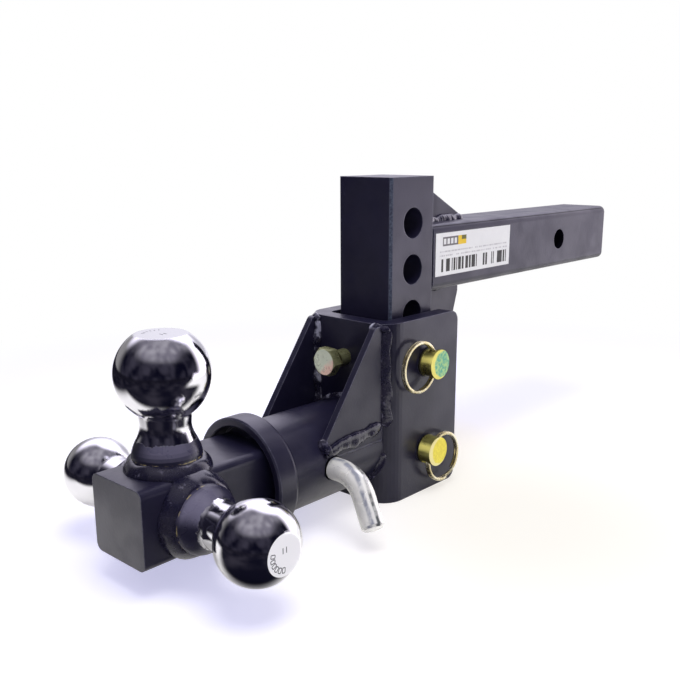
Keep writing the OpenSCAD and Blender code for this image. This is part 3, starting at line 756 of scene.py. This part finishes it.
def ball_welds():
    """A wide ring fillet round each ball's foot, dipping over the bar's rounded corners."""
    parts = []
    flare = 5.6 * MM  # how much wider the fillet is on the bar than at the foot's rim
    for index, (_, out, across, rim, _) in enumerate(BALLS):
        centre = Vector((0, BALL_Y, SLEEVE_Z)) + out * HEAD_HALF
        ring_r = FOOT_R + flare * 0.36
        corners = []
        for k in range(96):
            a = 2 * math.pi * k / 96
            offset = abs((ring_r + 1 * MM) * math.cos(a)) - (HEAD_HALF - HEAD_CORNER)
            dip = (HEAD_CORNER - math.sqrt(max(0.0, HEAD_CORNER ** 2 - offset ** 2))
                   if offset > 0 else 0.0)
            corners.append(centre + across * ring_r * math.cos(a) + Y * ring_r * math.sin(a)
                           + out * (rim * 0.40 - dip * 0.5))
        slope = math.hypot(flare, rim)
        parts.append(weld_bead(corners,
                               lambda p, c=centre, o=out, r=rim: (p - c - o * (p - c).dot(o)
                                                                  ).normalized() * r + o * flare,
                               slope * 0.58, 2.0 * MM, 71 + index, closed=True, lumps=0.18,
                               ripple=0.0))
    return parts


def collar_welds():
    """The bead round the sleeve behind the collar."""
    centre = Vector((0, COLLAR_REAR + 0.2 * MM, SLEEVE_Z))
    ring_r = SLEEVE_R + 0.4 * MM
    corners = [centre + Vector((ring_r * math.cos(a), 0, ring_r * math.sin(a)))
               for a in (2 * math.pi * k / 90 for k in range(90))]
    return [weld_bead(corners, lambda p, c=centre: (p - c).normalized() + Y, 1.8 * MM, 1.3 * MM, 81,
                      closed=True)]


def split_ring(name, node, lower, material):
    """Two turns of flat wire side by side, crossing over where both ends stop."""
    lo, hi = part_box(node)
    centre = (lo + hi) / 2
    half_r, half_x = 1.2 * MM, 0.86 * MM  # half the wire's section, along the radius and along X
    mean_r = (hi.y - lo.y) / 2 - half_r
    lane = (hi.x - lo.x) / 4
    ends, cross = math.radians(16), math.radians(24)
    turn0 = math.radians(-62 if lower else -100)
    steps = 220
    rings = []
    for i in range(steps + 1):
        a = ends + (4 * math.pi - 2 * ends) * i / steps
        share = min(1.0, max(0.0, (a - 2 * math.pi + cross) / (2 * cross)))
        x = lane * (2 * share * share * (3 - 2 * share) - 1)
        radial = Vector((0, math.cos(a + turn0), math.sin(a + turn0)))
        middle = centre + radial * mean_r + X * x
        section = [(math.copysign(abs(math.cos(t)) ** 0.45, math.cos(t)),
                    math.copysign(abs(math.sin(t)) ** 0.45, math.sin(t)))
                   for t in (2 * math.pi * k / 16 + math.pi / 16 for k in range(16))]
        rings.append([middle + radial * half_r * u + X * half_x * w for u, w in section])
    body = NODES[node].parent.name.split(":")[-1]
    return piece(name, [skin(rings, False)], material, body, node)


def stroke(centre, long, short, up, half_l, half_w, rise):
    """A shallow flat-topped bar with sloping sides, lying on a surface."""
    base = [centre + long * half_l * i + short * half_w * j - up * rise
            for i, j in ((-1, -1), (1, -1), (1, 1), (-1, 1))]
    top = [centre + long * half_l * 0.86 * i + short * half_w * 0.7 * j + up * rise
           for i, j in ((-1, -1), (1, -1), (1, 1), (-1, 1))]
    faces = [(3, 2, 1, 0), (4, 5, 6, 7)] + [(k, (k + 1) % 4, 4 + (k + 1) % 4, 4 + k) for k in range(4)]
    return base + top, faces


MARK_RING = {"top_ball": 10.4 * MM, "right_ball": 8.9 * MM, "left_ball": 7.6 * MM}
MARK_RISE = 0.05 * MM


def ball_marks():
    """Stamped marks on the flat of each ball: plain dashes, or small boxes on the right ball."""
    rng = random.Random(4)
    made = []
    for node, out, across, _, _ in BALLS:
        lo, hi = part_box(node)
        flat = hi.z - SLEEVE_Z if out == Z else max(abs(lo.x), abs(hi.x))
        centre = Vector((0, BALL_Y, SLEEVE_Z)) + out * flat
        other = out.cross(across)
        boxed = node == "right_ball"
        ring_r = MARK_RING[node]
        start, spacing = (78, 19) if boxed else (150, 15)
        strokes = []
        for k in range(6):
            a = math.radians(start + spacing * k)
            radial = across * math.cos(a) + other * math.sin(a)
            round_way = across * -math.sin(a) + other * math.cos(a)
            at = centre + radial * ring_r
            if boxed:
                for way, cross, half, aside in ((radial, round_way, 1.5 * MM, 1.0 * MM),
                                                (round_way, radial, 1.0 * MM, 1.5 * MM)):
                    for side in (1, -1):
                        strokes.append(stroke(at + cross * side * aside, way, cross, out, half,
                                              0.32 * MM, MARK_RISE))
            else:
                strokes.append(stroke(at, radial, round_way, out, rng.uniform(0.9, 1.3) * MM,
                                      0.30 * MM, MARK_RISE))
        for shift in (-1.3, 1.3):
            strokes.append(stroke(centre + other * shift * MM + across * 2.6 * MM, across, other, out,
                                  1.9 * MM, 0.36 * MM, MARK_RISE))
        made.append((node, strokes))
    return made


def bolt_marks():
    """Three raised grade lines, a third of a turn apart, on the bolt's head."""
    centre = Vector((0, BOLT_LO.y, BOLT_Z))
    parts = []
    for k in range(3):
        a = math.radians(90 + 120 * k)
        radial = X * math.cos(a) + Z * math.sin(a)
        parts.append(stroke(centre + radial * 5.0 * MM, radial, radial.cross(Y), -Y,
                            2.2 * MM, 0.35 * MM, 0.22 * MM))
    return parts


# ---------------------------------------------------------------- finishes on the CAD nodes
coat = powder_coat("black_powder_coat_satin")
glossy_weld = weld_paint("black_paint_over_weld", 0.08 * MM)
smooth_weld = weld_paint("black_paint_over_ball_weld", 0.015 * MM)
gold_wire = wire_zinc("pale_gold_wire")
silver = bright_zinc("bright_zinc")
ink = stamped_ink("stamped_mark")

use("post", powder_coat("black_powder_coat_post", highlit_corners=True))
use("shank_tube", powder_coat("black_powder_coat_shank", shaded_bore=True))
for node in ("upper_shank_gusset", "lower_shank_gusset", "channel",
             "sleeve_tube", "sleeve_collar", "left_gusset", "right_gusset", "head_bar"):
    use(node, coat)
for node, out, _, rim, paint_line in BALLS:
    use(node, ball_chrome("chrome_and_paint_" + node, node, out, rim, paint_line))
use("upper_clevis_pin", pin_zinc("yellow_zinc_upper_pin", "upper_clevis_pin", *UPPER_PIN_END))
use("lower_clevis_pin", pin_zinc("yellow_zinc_lower_pin", "lower_clevis_pin", *LOWER_PIN_END))
use("anti_rattle_bolt", bolt_zinc("green_zinc_bolt"))
use("hitch_pin", silver)
use("hitch_pin_clip", silver)
use("label", printed_label("printed_film"))

# ---------------------------------------------------------------- pieces built here
piece("channel_welds", channel_welds(), glossy_weld, "mount",
      "channel_weld_beads")
piece("shank_welds", shank_welds(), glossy_weld, "mount", "shank_weld_beads")
piece("ball_welds", ball_welds(), smooth_weld, "mount", "ball_weld_beads")
piece("collar_weld", collar_welds(), glossy_weld, "mount", "collar_weld_bead")
split_ring("upper_coil_ring", "upper_split_ring", False, gold_wire)
split_ring("lower_coil_ring", "lower_split_ring", True, gold_wire)
for node, parts in ball_marks():
    piece(node + "_marks", parts, ink, "mount")
piece("bolt_grade_lines", bolt_marks(), NODES["anti_rattle_bolt"].data.materials[0], "bolt")

# ---------------------------------------------------------------- camera
CAMERA_AT = Vector((0.4147, -0.7155, 0.0821))
back = Vector((math.sin(AZIMUTH) * math.cos(ELEVATION), -math.cos(AZIMUTH) * math.cos(ELEVATION),
               math.sin(ELEVATION)))
rise = back.cross(LEVEL)
right = LEVEL * math.cos(ROLL) + rise * math.sin(ROLL)
up = rise * math.cos(ROLL) - LEVEL * math.sin(ROLL)

scene = bpy.context.scene
camera = bpy.data.objects.new("camera", bpy.data.cameras.new("camera"))
scene.collection.objects.link(camera)
camera.matrix_world = Matrix.Translation(CAMERA_AT) @ Matrix((right, up, back)).transposed().to_4x4()
camera.data.sensor_fit = "HORIZONTAL"
camera.data.lens = 45.3
camera.data.shift_x = -0.0061
camera.data.shift_y = 0.0141
camera.data.clip_start = 0.02
scene.camera = camera
scene.view_settings.view_transform = "Standard"
middle = (cad_size[0] + cad_size[1]) / 2

# ---------------------------------------------------------------- room
# What polished faces mirror: a dark room on the camera's side, with a soft lilac panel high up in
# it, and behind the object a pale wall that is grey on the left and bright overhead and on the
# right, with a lamp above it. Everything else is lit by an even pale room. The camera sees white.
WALL_PALE, WALL_GREY = (1.00, 0.97, 1.12), (0.30, 0.29, 0.30)
WALL_MIDDLE, WALL_HIGH, WALL_RIGHT = (0.62, 0.60, 0.68), (1.9, 1.8, 2.15), (2.7, 2.5, 2.85)
DARK_ROOM, DARK_ROOM_SPOT = (0.004, 0.004, 0.013), (0.050, 0.046, 0.070)
PANEL_DARK, PANEL_LIGHT = (0.22, 0.205, 0.26), (0.44, 0.42, 0.48)
LAMP, LAMP_TILT = (2.0, 1.9, 2.3), math.radians(26)
EVEN_LIGHT = (0.50, 0.49, 0.58)

world = bpy.data.worlds.new("pale_room")
scene.world = world
room = Nodes(world, "Generated")


def towards(way):
    """Cosine of the angle between a ray and the given way."""
    return room.dot(room.coords, way.normalized())


mottle = room.noise(1.0, 0.8, coords=room.stretched((3.4, 3.4, 2.8), (0.3, 0.2, 0.5)),
                    distortion=0.5)
sideways, upwards = towards(LEVEL), towards(up)
wall = room.mix(room.step(sideways, -0.15, -0.60), WALL_PALE, WALL_GREY)
wall = room.mix(room.step(sideways, 0.02, 0.22), wall, WALL_MIDDLE)
wall = room.mix(room.step(upwards, 0.45, 0.75), wall, WALL_HIGH)
wall = room.mix(room.step(sideways, 0.40, 0.85), wall, WALL_RIGHT)
dark_room = room.mix(room.step(mottle, 0.34, 0.74), DARK_ROOM, DARK_ROOM_SPOT)
panel = room.mix(room.step(mottle, 0.30, 0.70), PANEL_DARK, PANEL_LIGHT)
in_panel = room.times(room.step(upwards, 0.34, 0.60), room.step(room.size(sideways), 0.86, 0.50))
in_dark = room.step(towards(back), -0.50, -0.08)
lamp_way = up * math.cos(LAMP_TILT) - back * math.sin(LAMP_TILT) + LEVEL * 0.2
in_lamp = room.step(towards(lamp_way), 0.88, 0.98)
mirrored = room.mix(in_dark, wall, room.mix(in_panel, dark_room, panel))
mirrored = room.mix(in_lamp, mirrored, LAMP)
rays = room.add("LightPath").outputs
lit = room.mix(rays["Is Glossy Ray"], EVEN_LIGHT, mirrored)
room_light = room.add("Background", {"Color": room.mix(rays["Is Camera Ray"], lit, WHITE),
                                     "Strength": 1.0})
room.add("OutputWorld", {"Surface": room_light.outputs[0]})

# ---------------------------------------------------------------- floor
FLOOR_REACH = 6.0
FLOOR_GAP = 0.3 * MM
floor_mesh = bpy.data.meshes.new("floor")
floor_mesh.from_pydata([(-FLOOR_REACH, -FLOOR_REACH, 0), (FLOOR_REACH, -FLOOR_REACH, 0),
                        (FLOOR_REACH, FLOOR_REACH, 0), (-FLOOR_REACH, FLOOR_REACH, 0)], [],
                       [(0, 1, 2, 3)])
floor = bpy.data.objects.new("floor", floor_mesh)
floor.location.z = FLOOR_Z - FLOOR_GAP
scene.collection.objects.link(floor)

PAPER, PAPER_DARK, PAPER_LIGHT = (0.74, 0.735, 0.72), (0.90, 0.895, 0.87), (0.93, 0.925, 0.90)
PAGE_NEAR = (0.90, 0.885, 0.835)  # cream tint of the page near the object; far off it is white
CREAM_AT = (0.13, -0.22)  # the floor's X and Y of a cream patch near the object
BEYOND_DARK, BEYOND_LIGHT = (0.006, 0.006, 0.014), (0.04, 0.037, 0.05)
SHADE_LILAC, SHADE_WARM = (0.44, 0.44, 0.62), (0.46, 0.42, 0.36)
FLOOR_GLOW, FLOOR_GLOW_RIGHT = (0.34, 0.33, 0.31), (1.3, 1.2, 1.4)

paper = Finish("pale_floor")
floor_x, floor_y, _ = paper.axes()
to_camera = Vector((back.x, back.y, 0)).normalized()


def along_floor(way):
    return paper.plus(paper.times(floor_x, way.x), paper.times(floor_y, way.y))


path = paper.add("LightPath").outputs
mirror_ray, camera_ray = path["Is Glossy Ray"], path["Is Camera Ray"]
across = along_floor(LEVEL)

# Where a mirror sees the paper: it ends on the camera's side, and it is left out for rays that
# come down steeply and not away from the camera, since the balls are dark low down on that side
depth = paper.minus(along_floor(to_camera), paper.step(across, -0.17, -0.06, 0.0, 0.10))
on_paper = paper.times(paper.step(depth, 0.345, 0.39, 1.0, 0.0), paper.step(across, -0.62, -0.45))
incoming = paper.add("NewGeometry").outputs["Incoming"]
_, _, from_above = paper.axes(incoming)
steep = paper.times(paper.step(from_above, 0.32, 0.42),
                    paper.step(paper.dot(incoming, back), 0.46, 0.20))
steep = paper.times(steep, paper.step(across, -0.33, -0.25))
on_paper = paper.times(on_paper, paper.minus(1.0, steep))
off_paper = paper.times(mirror_ray, paper.minus(1.0, on_paper))
grain = paper.mix(paper.noise(30, 3), PAPER_DARK, PAPER_LIGHT)
beyond = paper.mix(paper.step(paper.noise(7, 3), 0.38, 0.70), BEYOND_DARK, BEYOND_LIGHT)
base = paper.mix(camera_ray, paper.mix(off_paper, grain, beyond), PAPER)
glow = paper.mix(paper.step(across, 0.40, 0.65), FLOOR_GLOW, FLOOR_GLOW_RIGHT)
glow = paper.mix(paper.times(mirror_ray, on_paper), NO_GLOW, glow)

# What the camera sees: a cream patch near the object and white further off, with tinted shade on it
far = paper.step(paper.radius_from(floor_x, floor_y, middle.x, middle.y), 0.33, 0.70)
cream = paper.step(paper.radius_from(floor_x, floor_y, *CREAM_AT), 0.24, 0.02, 0.0, 0.7)
fade = paper.times(camera_ray, paper.math("MAXIMUM", far, cream))
page = paper.mix(far, PAGE_NEAR, WHITE)
warm = paper.times(paper.step(across, -0.24, -0.08), paper.step(floor_y, 0.02, -0.12))
glow = paper.mix(camera_ray, glow, paper.mix(warm, SHADE_LILAC, SHADE_WARM))
paper.set(Base_Color=paper.mix(fade, base, NO_GLOW), Roughness=0.8, Specular_IOR_Level=0.0,
          Emission_Color=paper.mix(fade, glow, page), Emission_Strength=1.0)
floor_mesh.materials.append(paper.material)


# ---------------------------------------------------------------- lights
def soft_light(name, at, size, watts, colour):
    """A round lamp turned to the middle of the object, unseen by polished faces."""
    data = bpy.data.lights.new(name, "AREA")
    data.shape, data.size, data.energy, data.color = "DISK", size, watts, colour
    obj = bpy.data.objects.new(name, data)
    obj.location = at
    obj.rotation_mode = "QUATERNION"
    obj.rotation_quaternion = (at - middle).to_track_quat("Z", "Y")
    obj.visible_glossy = False
    scene.collection.objects.link(obj)


soft_light("overhead", middle + back * 0.30 + LEVEL * 0.05 + Z * 0.95, 0.75, 8.0, (1.0, 0.985, 0.95))
soft_light("right_side", middle + X * 1.1 + Y * 0.5 + Z * 0.6, 0.8, 2.0, (0.96, 0.95, 1.0))
